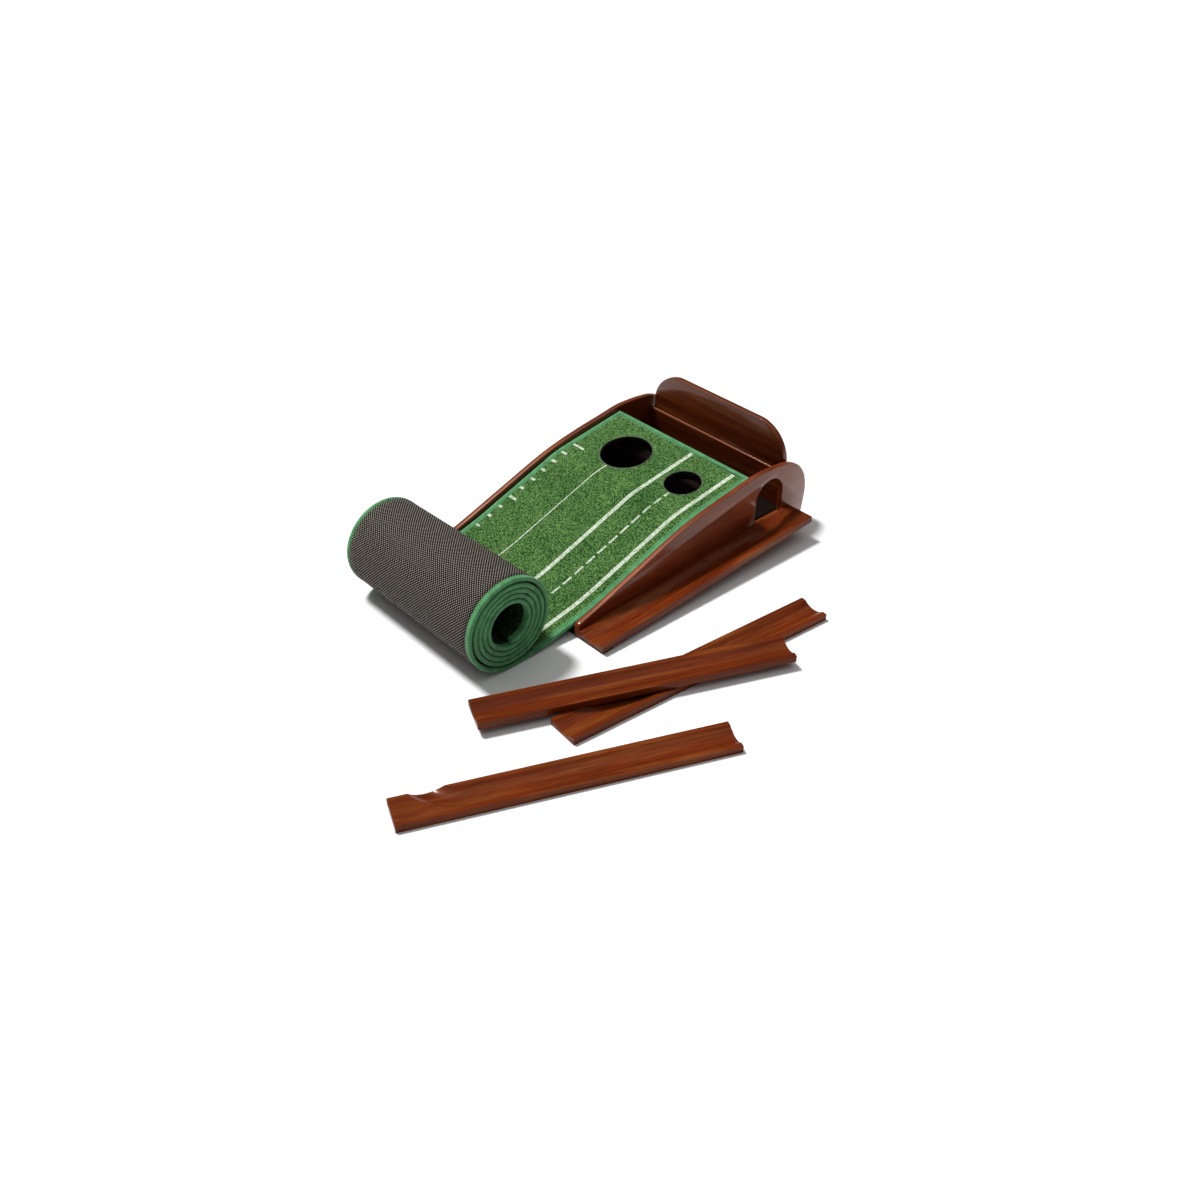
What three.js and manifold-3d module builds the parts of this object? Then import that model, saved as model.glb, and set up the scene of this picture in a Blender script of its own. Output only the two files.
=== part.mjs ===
// Practice putting mat: a wooden ramp station with two cups, a ball trough and a side return rail,
// a turf mat that runs down the ramp, along the floor and into a roll, and three loose return rails.
// Units are millimetres. +Y runs up the ramp, +X is the return-rail side, +Z is up, the floor is z = 0.
import * as THREE from 'three';
import { mergeVertices } from 'three/addons/utils/BufferGeometryUtils.js';
import Module from 'manifold-3d';

const kernel = await Module();
kernel.setup();

// ---- driving dimensions -------------------------------------------------------------------------
const GAP = 0.3; // clearance left between touching pieces
const MAT_WIDTH = 370; // turf width across the putting line
const MAT_THICK = 8; // pile and backing together
const WRAP_GAP = 2; // air between two turns of the roll
const CREST_LIFT = 8; // how far the side boards stand above the turf
const BOARD = 12; // thickness of the side and back boards
const CATCH_THICK = 8; // thickness of the catch board
const BACK_INSET = 5.5; // the back board stops this much short of each side board
const EASE = 2; // rounding of the board edges
const SIDE_PLAY = 3; // from the turf edge to the inner face of a side board
const RAMP_FOOT = 51; // where the steep slope begins
const RAMP_FOOT_Z = 36; // turf height there
const RAMP_BREAK = 285; // where the slope eases into the cup deck
const RAMP_BREAK_Z = 118; // turf height there
const TURF_END = 464; // rear edge of the turf
const TURF_END_Z = 145; // turf height there
const FLOOR_TOUCH = -95; // where the mat meets the floor in front of the ramp
const CUP_Y = 370; // both cups lie on this line
const LARGE_CUP = { x: -67, r: 54 };
const SMALL_CUP = { x: 93, r: 38 };
const TROUGH_WIDE = 91; // from the turf's rear edge to the catch board
const REAR_OVERHANG = 45; // side boards reach this far behind the back board
const CATCH_Z = 122; // its rounded top
const BACK_TOP = 210; // top of the back board
const BACK_CORNER = 75; // radius of its top corners
const EXIT_AHEAD = 47; // centre of the ball exit, ahead of the catch board
const EXIT_HALF = 38; // half its width, and the radius of its arched top
const EXIT_SILL = 40; // bottom of the exit
const EXIT_TOP = 129; // crown of the exit
const TROUGH_HIGH = 54; // trough floor at the left side board
const TROUGH_LOW = 42; // trough floor at the exit
const CHUTE_FRONT_Z = 66; // top of the drop chute under the cups
const CHUTE_REAR_Z = 55; // where it hands the ball to the trough
const RAIL_WIDTH = 65.6; // all return rails share one section
const RAIL_THICK = 13.3;
const CHANNEL_CHORD = 46; // width of the ball channel at the rail's top
const CHANNEL_DEPTH = 8.5;
const TURN_RADIUS = 80; // plan radius of the channel where it turns sideways
const STATION_TURN = 110; // the station rail's channel begins to turn this far from its rear end
const END_TURN = 125; // and the loose end rail's this far from its front end
const STATION_RAIL_LENGTH = 567;
const STATION_RAIL_LOW = 5; // underside of the station rail at its front end
const STATION_RAIL_HIGH = 38; // and at its rear end
const LOOSE_RAIL_LENGTH = 578;
const ROLL_RADIUS = 96; // outer turn of the rolled mat
const ROLL_TURNS = 5;
const ROLL_Y = -142; // the roll stands on the floor here
const SCREW_R = 2; // shank radius of the wood screws

const ROLL_PITCH = MAT_THICK + WRAP_GAP; // radial step from one turn to the next
const CATCH_Y = TURF_END + TROUGH_WIDE; // front face of the catch board
const EXIT_Y = CATCH_Y - EXIT_AHEAD;
const BACK_Y = CATCH_Y + CATCH_THICK + GAP; // front face of the back board
const SIDE_END = BACK_Y + BOARD + REAR_OVERHANG - GAP; // rear end of the side boards
const INNER = MAT_WIDTH / 2 + SIDE_PLAY; // inner face of a side board
const OUTER = INNER + BOARD;
const HALF_SPAN = INNER - GAP; // half length of every cross piece

// ---- shared helpers -----------------------------------------------------------------------------
const parts = [];

function addPiece(name, geometry, colour, roughness) {
  const material = new THREE.MeshStandardMaterial({ color: colour, roughness });
  const mesh = new THREE.Mesh(geometry, material);
  mesh.name = name;
  parts.push(mesh);
  return mesh;
}

const WOOD = 0x5a2512;
const TURF = 0x3f7a35;
const STEEL = 0xb8b8b8;
const RUBBER = 0x1c1a19;

// Bare positions with shared corners, as the boolean kernel and the exporter want them.
function welded(geometry) {
  const bare = new THREE.BufferGeometry();
  bare.setAttribute('position', geometry.getAttribute('position').clone());
  if (geometry.index) {
    bare.setIndex(geometry.index.clone());
  }
  return mergeVertices(bare, 1e-4);
}

function toSolid(geometry) {
  const shared = welded(geometry);
  const mesh = new kernel.Mesh({
    numProp: 3,
    vertProperties: new Float32Array(shared.getAttribute('position').array),
    triVerts: new Uint32Array(shared.index.array),
  });
  return new kernel.Manifold(mesh);
}

function fromSolid(solid) {
  const mesh = solid.getMesh();
  const geometry = new THREE.BufferGeometry();
  geometry.setAttribute('position', new THREE.BufferAttribute(new Float32Array(mesh.vertProperties), 3));
  geometry.setIndex(new THREE.BufferAttribute(new Uint32Array(mesh.triVerts), 1));
  return geometry;
}

function cut(geometry, cutters) {
  let solid = toSolid(geometry);
  for (const cutter of cutters) {
    solid = solid.subtract(toSolid(cutter));
  }
  return fromSolid(solid);
}

// A flat outline pushed out to a thickness, with softened edges when ease is above zero.
function slab(shape, thickness, ease = 0) {
  return new THREE.ExtrudeGeometry(shape, {
    depth: thickness - 2 * ease,
    bevelEnabled: ease > 0,
    bevelThickness: ease,
    bevelSize: ease,
    bevelOffset: -ease,
    bevelSegments: 2,
    curveSegments: 20,
  }).translate(0, 0, ease);
}

// Outline drawn in (Y, Z), thickness along X from x0 to x1.
function acrossX(points, x0, x1, ease = 0) {
  const drawn = points instanceof THREE.Shape;
  const shape = drawn ? points : new THREE.Shape(points.map(([y, z]) => new THREE.Vector2(y, z)));
  const turn = new THREE.Matrix4().makeBasis(
    new THREE.Vector3(0, 1, 0),
    new THREE.Vector3(0, 0, 1),
    new THREE.Vector3(1, 0, 0),
  );
  return slab(shape, x1 - x0, ease).applyMatrix4(turn).translate(x0, 0, 0);
}

// Outline drawn in (X, Z), thickness along Y from y0 to y1.
function acrossY(shape, y0, y1, ease = 0) {
  return slab(shape, y1 - y0, ease).rotateX(Math.PI / 2).translate(0, y1, 0);
}

function rod(radius, length, segments = 24) {
  return new THREE.CylinderGeometry(radius, radius, length, segments);
}

// ---- heights along the putting line -------------------------------------------------------------
const LINE = [
  [FLOOR_TOUCH, MAT_THICK],
  [RAMP_FOOT, RAMP_FOOT_Z],
  [RAMP_BREAK, RAMP_BREAK_Z],
  [TURF_END, TURF_END_Z],
];

function turfTop(y) {
  let i = 0;
  while (i < LINE.length - 2 && y > LINE[i + 1][0]) {
    i += 1;
  }
  const [ya, za] = LINE[i];
  const [yb, zb] = LINE[i + 1];
  return za + ((zb - za) * (y - ya)) / (yb - ya);
}

const deckTop = (y) => turfTop(y) - MAT_THICK - GAP;
const DECK_TILT = Math.atan2(TURF_END_Z - RAMP_BREAK_Z, TURF_END - RAMP_BREAK);

// ---- side boards --------------------------------------------------------------------------------
// One outline serves both: low at the front, rising just above the turf, rounded at the rear.
// A rear point is set in from the rear end by its first value, at a share of the crown's height.
const SIDE_REAR = [[88, 0.984], [57, 0.95], [30, 0.86], [12, 0.72], [3, 0.575], [0, 0.405], [3, 0.222]];

function sideOutline() {
  const tip = turfTop(0) + CREST_LIFT / 2;
  const crown = TURF_END_Z + CREST_LIFT;
  const abreast = (y, share = 1) => [y, turfTop(y) + CREST_LIFT * share];
  const crest = [
    abreast(RAMP_FOOT),
    abreast(RAMP_FOOT + 99),
    abreast(RAMP_BREAK - 55),
    abreast(RAMP_BREAK, 0.6),
    abreast(RAMP_BREAK + 65),
    abreast(TURF_END - 49),
    abreast(TURF_END),
    [SIDE_END - 120, crown],
  ];
  for (const [inset, share] of SIDE_REAR) {
    crest.push([SIDE_END - inset, crown * share]);
  }
  const shape = new THREE.Shape();
  shape.moveTo(0, 0);
  shape.lineTo(0, tip - 6);
  shape.quadraticCurveTo(1, tip - 2, 6, tip);
  shape.splineThru(crest.map(([y, z]) => new THREE.Vector2(y, z)));
  shape.lineTo(SIDE_END - 8, 0);
  shape.lineTo(0, 0);
  return shape;
}

const railSlope = Math.atan2(STATION_RAIL_HIGH - STATION_RAIL_LOW, STATION_RAIL_LENGTH);
const railMid = (y) => STATION_RAIL_LOW + y * Math.tan(railSlope) + RAIL_THICK / 2;
const RAIL_SCREW_Y = [70, 250, 430];

addPiece('side_board_left', acrossX(sideOutline(), -OUTER, -INNER, EASE), WOOD, 0.35);

const rightOutline = sideOutline();
const exit = new THREE.Path();
exit.moveTo(EXIT_Y - EXIT_HALF, EXIT_SILL);
exit.lineTo(EXIT_Y + EXIT_HALF, EXIT_SILL);
exit.lineTo(EXIT_Y + EXIT_HALF, EXIT_TOP - EXIT_HALF);
exit.absarc(EXIT_Y, EXIT_TOP - EXIT_HALF, EXIT_HALF, 0, Math.PI, false);
exit.lineTo(EXIT_Y - EXIT_HALF, EXIT_SILL);
rightOutline.holes.push(exit);
const sideBore = rod(SCREW_R + GAP, 60).rotateZ(Math.PI / 2);
const screwBores = RAIL_SCREW_Y.map((y) => sideBore.clone().translate(OUTER, y, railMid(y)));
addPiece('side_board_right', cut(acrossX(rightOutline, INNER, OUTER, EASE), screwBores), WOOD, 0.35);

// ---- deck under the turf ------------------------------------------------------------------------
const SLOPE_PLY = 10;
const CUP_PLY = 12;
const slopeUnder = (y) => deckTop(y) - SLOPE_PLY;
const cupUnder = (y) => deckTop(y) - CUP_PLY / Math.cos(DECK_TILT);

const blockRear = RAMP_FOOT - GAP;
addPiece(
  'front_block',
  acrossX([[2, 0], [blockRear, 0], [blockRear, deckTop(blockRear)], [2, deckTop(2)]], -HALF_SPAN, HALF_SPAN),
  WOOD,
  0.5,
);

const slopeStart = RAMP_FOOT;
const slopeEnd = RAMP_BREAK - GAP;
addPiece(
  'slope_board',
  acrossX(
    [
      [slopeStart, slopeUnder(slopeStart)],
      [slopeEnd, slopeUnder(slopeEnd)],
      [slopeEnd, deckTop(slopeEnd)],
      [slopeStart, deckTop(slopeStart)],
    ],
    -HALF_SPAN,
    HALF_SPAN,
  ),
  WOOD,
  0.5,
);

// The cup board is drawn flat, bored, then tipped to the deck's slope.
const alongDeck = (y) => (y - RAMP_BREAK) / Math.cos(DECK_TILT);
const cupShape = new THREE.Shape();
const deckLength = alongDeck(TURF_END - 1);
cupShape.moveTo(-HALF_SPAN, 0);
cupShape.lineTo(HALF_SPAN, 0);
cupShape.lineTo(HALF_SPAN, deckLength);
cupShape.lineTo(-HALF_SPAN, deckLength);
cupShape.lineTo(-HALF_SPAN, 0);
for (const cup of [LARGE_CUP, SMALL_CUP]) {
  const ring = new THREE.Path();
  ring.absarc(cup.x, alongDeck(CUP_Y), cup.r + 1, 0, 2 * Math.PI, true);
  cupShape.holes.push(ring);
}
const cupBoard = new THREE.ExtrudeGeometry(cupShape, {
  depth: CUP_PLY,
  bevelEnabled: false,
  curveSegments: 24,
});
cupBoard.translate(0, 0, -CUP_PLY).rotateX(DECK_TILT).translate(0, RAMP_BREAK, deckTop(RAMP_BREAK));
addPiece('cup_board', cupBoard, WOOD, 0.5);

addPiece(
  'middle_batten',
  acrossX(
    [
      [266, CHUTE_FRONT_Z + GAP],
      [305, CHUTE_FRONT_Z + GAP],
      [305, cupUnder(305) - GAP],
      [RAMP_BREAK - 1, cupUnder(RAMP_BREAK + 0.1) - GAP - 0.2],
      [RAMP_BREAK - 1, slopeUnder(RAMP_BREAK - 1) - GAP],
      [266, slopeUnder(266) - GAP],
    ],
    -HALF_SPAN,
    HALF_SPAN,
  ),
  WOOD,
  0.5,
);

addPiece(
  'rear_batten',
  acrossX(
    [
      [448, cupUnder(448) - GAP - 17],
      [461, cupUnder(448) - GAP - 17],
      [461, cupUnder(461) - GAP],
      [448, cupUnder(448) - GAP],
    ],
    -HALF_SPAN,
    HALF_SPAN,
  ),
  WOOD,
  0.5,
);

// ---- ball path under the deck -------------------------------------------------------------------
const CHUTE_PLY = 8;
addPiece(
  'drop_chute',
  acrossX(
    [
      [290, CHUTE_FRONT_Z - CHUTE_PLY],
      [TURF_END, CHUTE_REAR_Z - CHUTE_PLY],
      [TURF_END, CHUTE_REAR_Z],
      [290, CHUTE_FRONT_Z],
    ],
    -HALF_SPAN,
    HALF_SPAN,
  ),
  WOOD,
  0.5,
);

const chuteUnder = (y) =>
  CHUTE_FRONT_Z - CHUTE_PLY + ((CHUTE_REAR_Z - CHUTE_FRONT_Z) * (y - 290)) / (TURF_END - 290);
for (const [name, y] of [['front_bearer', 300], ['rear_bearer', 448]]) {
  addPiece(
    name,
    acrossX(
      [[y, 0], [y + 14, 0], [y + 14, chuteUnder(y + 14) - GAP], [y, chuteUnder(y) - GAP]],
      -HALF_SPAN,
      HALF_SPAN,
    ),
    WOOD,
    0.5,
  );
}

const troughShape = new THREE.Shape();
troughShape.moveTo(-HALF_SPAN, TROUGH_HIGH - CHUTE_PLY);
troughShape.lineTo(HALF_SPAN, TROUGH_LOW - CHUTE_PLY);
troughShape.lineTo(HALF_SPAN, TROUGH_LOW);
troughShape.lineTo(-HALF_SPAN, TROUGH_HIGH);
troughShape.lineTo(-HALF_SPAN, TROUGH_HIGH - CHUTE_PLY);
addPiece('trough_floor', acrossY(troughShape, TURF_END + GAP, CATCH_Y - GAP), WOOD, 0.5);

// ---- catch board and back board -----------------------------------------------------------------
const CATCH_BOTTOM = 26;
const catchShape = new THREE.Shape();
catchShape.moveTo(CATCH_Y, CATCH_BOTTOM);
const lip = CATCH_THICK / 2;
catchShape.lineTo(CATCH_Y + CATCH_THICK, CATCH_BOTTOM);
catchShape.lineTo(CATCH_Y + CATCH_THICK, CATCH_Z - lip);
catchShape.absarc(CATCH_Y + lip, CATCH_Z - lip, lip, 0, Math.PI, false);
catchShape.lineTo(CATCH_Y, CATCH_BOTTOM);
const BACK_SCREWS = [-140, 0, 140];
const BACK_SCREW_Z = 74;
const BACK_SCREW_LENGTH = 17;
const rearBore = rod(SCREW_R + GAP, BACK_SCREW_LENGTH + 2);
const backBores = BACK_SCREWS.map((x) => (
  rearBore.clone().translate(x, BACK_Y + BOARD + 0.5 - BACK_SCREW_LENGTH / 2, BACK_SCREW_Z)
));
addPiece('catch_board', cut(acrossX(catchShape, -HALF_SPAN, HALF_SPAN), backBores), WOOD, 0.35);

const backShape = new THREE.Shape();
const backHalf = INNER - BACK_INSET;
backShape.moveTo(-backHalf, 0);
backShape.lineTo(backHalf, 0);
backShape.lineTo(backHalf, BACK_TOP - BACK_CORNER);
backShape.absarc(backHalf - BACK_CORNER, BACK_TOP - BACK_CORNER, BACK_CORNER, 0, Math.PI / 2, false);
backShape.absarc(BACK_CORNER - backHalf, BACK_TOP - BACK_CORNER, BACK_CORNER, Math.PI / 2, Math.PI, false);
backShape.lineTo(-backHalf, 0);
addPiece('back_board', cut(acrossY(backShape, BACK_Y, BACK_Y + BOARD, EASE), backBores), WOOD, 0.35);

// ---- screws -------------------------------------------------------------------------------------
// Pan head, shank along -Y from the head's underside at y = 0.
function screw(length) {
  const outline = [
    new THREE.Vector2(0, -length),
    new THREE.Vector2(SCREW_R * 0.5, -length + 1.5),
    new THREE.Vector2(SCREW_R, -length + 4),
    new THREE.Vector2(SCREW_R, 0),
    new THREE.Vector2(SCREW_R * 2.1, 0),
    new THREE.Vector2(SCREW_R * 2.1, 0.8),
    new THREE.Vector2(SCREW_R * 1.5, 2.2),
    new THREE.Vector2(0, 2.7),
  ];
  return new THREE.LatheGeometry(outline, 20);
}

BACK_SCREWS.forEach((x, i) => {
  const set = screw(BACK_SCREW_LENGTH).translate(x, BACK_Y + BOARD + GAP, BACK_SCREW_Z);
  addPiece(`back_screw_${i + 1}`, set, STEEL, 0.3);
});
RAIL_SCREW_Y.forEach((y, i) => {
  const turned = screw(26).rotateZ(Math.PI / 2).translate(INNER - GAP, y, railMid(y));
  addPiece(`rail_screw_${i + 1}`, turned, STEEL, 0.3);
});

// ---- return rails -------------------------------------------------------------------------------
// Drawn flat: x across from the inner edge, y along, z up from the underside. The ball channel is a
// shallow round groove. At a turned end it curves out through the inner edge at x = 0.
const GROOVE_R = ((CHANNEL_CHORD / 2) ** 2 + CHANNEL_DEPTH ** 2) / (2 * CHANNEL_DEPTH);
const GROOVE_Z = RAIL_THICK - CHANNEL_DEPTH + GROOVE_R;
const GROOVE_X = RAIL_WIDTH / 2;
const LEAD_IN = 12; // the turned cut starts this far back in the straight one

function grooveAlong(path, steps) {
  const round = new THREE.Shape();
  round.absarc(0, 0, GROOVE_R, 0, 2 * Math.PI, false);
  return new THREE.ExtrudeGeometry(round, {
    extrudePath: path,
    steps,
    curveSegments: 96,
    bevelEnabled: false,
  });
}

function returnRail(length, turnAt) {
  const plank = new THREE.BoxGeometry(RAIL_WIDTH, length, RAIL_THICK);
  plank.translate(RAIL_WIDTH / 2, length / 2, RAIL_THICK / 2);
  const from = turnAt ?? -20;
  const straight = new THREE.LineCurve3(
    new THREE.Vector3(GROOVE_X, from, GROOVE_Z),
    new THREE.Vector3(GROOVE_X, length + 20, GROOVE_Z),
  );
  const cutters = [grooveAlong(straight, 1)];
  if (turnAt !== undefined) {
    const bend = [new THREE.Vector3(GROOVE_X, turnAt + LEAD_IN, GROOVE_Z)];
    for (let i = 0; i <= 24; i += 1) {
      const a = (i / 24) * (Math.PI / 2);
      const x = GROOVE_X - TURN_RADIUS + TURN_RADIUS * Math.cos(a);
      bend.push(new THREE.Vector3(x, turnAt - TURN_RADIUS * Math.sin(a), GROOVE_Z));
    }
    cutters.push(grooveAlong(new THREE.CatmullRomCurve3(bend), 28));
  }
  return cut(plank, cutters);
}

// Mirrors a rail end for end, so its turned end is at the far end.
function swapEnds(geometry, length) {
  const mirror = new THREE.Matrix4().makeScale(1, -1, 1);
  const flipped = geometry.clone().applyMatrix4(mirror).translate(0, length, 0);
  const index = flipped.index.array;
  for (let i = 0; i < index.length; i += 3) {
    [index[i + 1], index[i + 2]] = [index[i + 2], index[i + 1]];
  }
  return flipped;
}

const RAIL_SCREW_REACH = 15; // how much less the bores go into the rail than into the side board
const stationRail = swapEnds(returnRail(STATION_RAIL_LENGTH, STATION_TURN), STATION_RAIL_LENGTH);
stationRail.rotateX(railSlope).translate(OUTER + GAP, 0, STATION_RAIL_LOW);
const railBores = screwBores.map((bore) => bore.clone().translate(-RAIL_SCREW_REACH, 0, 0));
addPiece('station_rail', cut(stationRail, railBores), WOOD, 0.35);

const FOOT_LENGTH = 26;
const footTop = (y) => STATION_RAIL_LOW + y * Math.tan(railSlope) - GAP;
addPiece(
  'station_rail_foot',
  acrossX(
    [[2, 0], [2 + FOOT_LENGTH, 0], [2 + FOOT_LENGTH, footTop(2 + FOOT_LENGTH)], [2, footTop(2)]],
    OUTER + 4,
    OUTER + RAIL_WIDTH - 2,
  ),
  RUBBER,
  0.8,
);

// Loose rails: inner rear corner, heading of the rail in degrees from +X, height of the underside.
const LOOSE = [
  { name: 'rail_end_turned', x: 313.9, y: -505.6, z: 0, heading: 66.25, turnAt: END_TURN },
  { name: 'rail_lower', x: 342.9, y: -191.4, z: 0, heading: 84.35 },
  { name: 'rail_upper', x: 225.6, y: -273.4, z: RAIL_THICK + GAP, heading: 66.08 },
];
for (const rail of LOOSE) {
  const geometry = returnRail(LOOSE_RAIL_LENGTH, rail.turnAt);
  geometry.rotateZ(THREE.MathUtils.degToRad(rail.heading - 90)).translate(rail.x, rail.y, rail.z);
  addPiece(rail.name, geometry, WOOD, 0.35);
}

// ---- mat ----------------------------------------------------------------------------------------
const HALF_MAT = MAT_WIDTH / 2;
const matUnder = LINE.map(([y, z]) => [y, z - MAT_THICK]).reverse();
const cupCutters = [LARGE_CUP, SMALL_CUP].map((cup) =>
  rod(cup.r, 60, 96)
    .rotateX(Math.PI / 2 + DECK_TILT)
    .translate(cup.x, CUP_Y, turfTop(CUP_Y) - MAT_THICK / 2),
);
addPiece('mat_on_ramp', cut(acrossX([...LINE, ...matUnder], -HALF_MAT, HALF_MAT), cupCutters), TURF, 0.95);

addPiece(
  'mat_flat_run',
  acrossX(
    [[ROLL_Y + GAP, 0], [FLOOR_TOUCH - GAP, 0], [FLOOR_TOUCH - GAP, MAT_THICK], [ROLL_Y + GAP, MAT_THICK]],
    -HALF_MAT,
    HALF_MAT,
  ),
  TURF,
  0.95,
);

// The roll is one spiral: it leaves the floor at its lowest point and winds up and over, turf inwards.
function spiralPoint(turn, depth) {
  const a = turn * 2 * Math.PI;
  const r = ROLL_RADIUS - ROLL_PITCH * turn - depth;
  return [ROLL_Y - r * Math.sin(a), ROLL_RADIUS - r * Math.cos(a)];
}

const STEPS = ROLL_TURNS * 40;
const outside = [];
const inside = [];
for (let i = 0; i <= STEPS; i += 1) {
  outside.push(spiralPoint(i / 40, 0));
  inside.push(spiralPoint(i / 40, MAT_THICK));
}
addPiece('mat_roll', acrossX([...outside, ...inside.reverse()], -HALF_MAT, HALF_MAT), TURF, 0.95);

// ---- assembly -----------------------------------------------------------------------------------
// The frame's origin is the middle of the whole layout, on the floor.
const group = new THREE.Group();
group.name = 'putting_mat';
for (const mesh of parts) {
  mesh.geometry = welded(mesh.geometry);
  group.add(mesh);
}
const bounds = new THREE.Box3().setFromObject(group);
const middle = bounds.getCenter(new THREE.Vector3());
for (const mesh of parts) {
  mesh.geometry.translate(-middle.x, -middle.y, -bounds.min.z);
  mesh.geometry.computeVertexNormals();
}

export default group;
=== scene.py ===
import math

import bmesh
import bpy
from mathutils import Matrix, Vector, noise


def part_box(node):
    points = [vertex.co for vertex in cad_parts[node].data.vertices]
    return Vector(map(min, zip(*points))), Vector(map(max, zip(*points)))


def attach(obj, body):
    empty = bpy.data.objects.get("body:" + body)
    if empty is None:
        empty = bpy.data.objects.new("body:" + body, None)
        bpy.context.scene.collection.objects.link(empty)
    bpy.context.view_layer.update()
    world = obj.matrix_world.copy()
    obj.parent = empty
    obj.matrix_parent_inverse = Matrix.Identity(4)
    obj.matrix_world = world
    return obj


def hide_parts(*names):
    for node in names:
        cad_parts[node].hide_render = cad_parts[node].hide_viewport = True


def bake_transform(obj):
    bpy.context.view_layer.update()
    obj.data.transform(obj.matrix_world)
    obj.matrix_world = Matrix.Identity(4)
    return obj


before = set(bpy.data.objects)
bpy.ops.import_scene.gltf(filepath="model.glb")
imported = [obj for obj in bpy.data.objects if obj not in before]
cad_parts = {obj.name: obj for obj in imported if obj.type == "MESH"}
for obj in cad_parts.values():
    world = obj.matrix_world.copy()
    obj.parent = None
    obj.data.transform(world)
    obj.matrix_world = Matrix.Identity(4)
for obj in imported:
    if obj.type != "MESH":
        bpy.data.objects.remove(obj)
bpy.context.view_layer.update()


# ---- The studio ---------------------------------------------------------------------------------
# A plain white floor that runs out of sight, one broad lamp high on the left, surroundings that
# are brightest overhead, and a camera above the front right corner.
FLOOR_HALF = 14.0
LAMP_ANGLE = 11.0  # degrees the lamp covers, which sets how soft its shadows are
LAMP_STRENGTH = 3.4
FILL_STRENGTH = 0.44
SKY_BANDS = ((0.0, 0.9), (0.05, 0.7), (0.20, 0.20), (0.72, 0.28), (0.90, 1.6))  # (rise, light)
SHADOW_PER_HEIGHT = (0.50, 0.13)  # how far a shadow falls along X and Y for each unit of height
CAMERA_PLACE = (1.4593, -1.3582, 1.5253)
CAMERA_TURN = (36.17, 47.46, 0.3)  # degrees down, round and tipped
LENS = 41.13
LENS_SHIFT = (0.0083, -0.0004)

studio = bpy.context.scene
studio.view_settings.view_transform = "Standard"

surroundings = bpy.data.worlds.new("white_surroundings")
surroundings.use_nodes = True
air = surroundings.node_tree
sky = air.nodes["Background"]
sky.inputs["Strength"].default_value = FILL_STRENGTH
direction = air.nodes.new("ShaderNodeTexCoord")
height = air.nodes.new("ShaderNodeSeparateXYZ")
bands = air.nodes.new("ShaderNodeValToRGB")
while len(bands.color_ramp.elements) < len(SKY_BANDS):
    bands.color_ramp.elements.new(0.5)
for band, (rise, light) in zip(bands.color_ramp.elements, SKY_BANDS):
    band.position = rise
    band.color = (light, light, light, 1.0)
air.links.new(direction.outputs["Generated"], height.inputs["Vector"])
air.links.new(height.outputs["Z"], bands.inputs["Fac"])
air.links.new(bands.outputs["Color"], sky.inputs["Color"])
studio.world = surroundings

floor_paint = bpy.data.materials.new("floor_paint")
floor_paint.use_nodes = True
paint = floor_paint.node_tree.nodes["Principled BSDF"]
paint.inputs["Base Color"].default_value = (0.93, 0.93, 0.93, 1.0)
paint.inputs["Roughness"].default_value = 0.9
paint.inputs["Specular IOR Level"].default_value = 0.1

floor_mesh = bpy.data.meshes.new("studio_floor")
floor_mesh.from_pydata(
    [(sx * FLOOR_HALF, sy * FLOOR_HALF, -0.0002) for sx, sy in ((-1, -1), (1, -1), (1, 1), (-1, 1))],
    [],
    [(0, 1, 2, 3)],
)
floor_mesh.materials.append(floor_paint)
floor = bpy.data.objects.new("studio_floor", floor_mesh)
studio.collection.objects.link(floor)

lamp_data = bpy.data.lights.new("broad_lamp", "SUN")
lamp_data.energy = LAMP_STRENGTH
lamp_data.angle = math.radians(LAMP_ANGLE)
lamp = bpy.data.objects.new("broad_lamp", lamp_data)
toward_lamp = Vector((-SHADOW_PER_HEIGHT[0], -SHADOW_PER_HEIGHT[1], 1.0))
lamp.rotation_euler = toward_lamp.to_track_quat("Z", "Y").to_euler()
studio.collection.objects.link(lamp)

lens = bpy.data.cameras.new("camera")
lens.sensor_width = 36.0
lens.lens = LENS
lens.shift_x, lens.shift_y = LENS_SHIFT
lens.clip_start = 0.05
lens.clip_end = 60.0
camera = bpy.data.objects.new("camera", lens)
down, around, tip = (math.radians(a) for a in CAMERA_TURN)
aim = Matrix.Rotation(around, 4, "Z") @ Matrix.Rotation(math.pi / 2 - down, 4, "X")
aim = aim @ Matrix.Rotation(tip, 4, "Z")
camera.matrix_world = Matrix.Translation(CAMERA_PLACE) @ aim
studio.collection.objects.link(camera)
studio.camera = camera


# ---- Side boards --------------------------------------------------------------------------------
# Two boards of solid hardwood, cut to one long curved outline with every edge eased, stained red
# brown and lacquered to a gloss. The right one has an arched opening where the ball comes out.
WOOD_DARK = (0.066, 0.0072, 0.0012, 1.0)
WOOD_RED = (0.140, 0.0215, 0.0034, 1.0)
WOOD_LIGHT = (0.250, 0.0780, 0.0160, 1.0)
WARM_GLOSS = (1.0, 0.50, 0.30, 1.0)
BOARD_EDGE = 0.0003  # how far the boards' edges are rounded over


def wire(tree, *links):
    """Joins sockets, each link given as (from node, socket, to node, socket)."""
    for source, out, target, into in links:
        tree.links.new(source.outputs[out], target.inputs[into])


def node(tree, kind, **values):
    """A shader node, with attributes and input values set by name."""
    made = tree.nodes.new(kind)
    for name, value in values.items():
        if hasattr(made, name):
            setattr(made, name, value)
        else:
            made.inputs[name.replace("_", " ")].default_value = value
    return made


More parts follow.
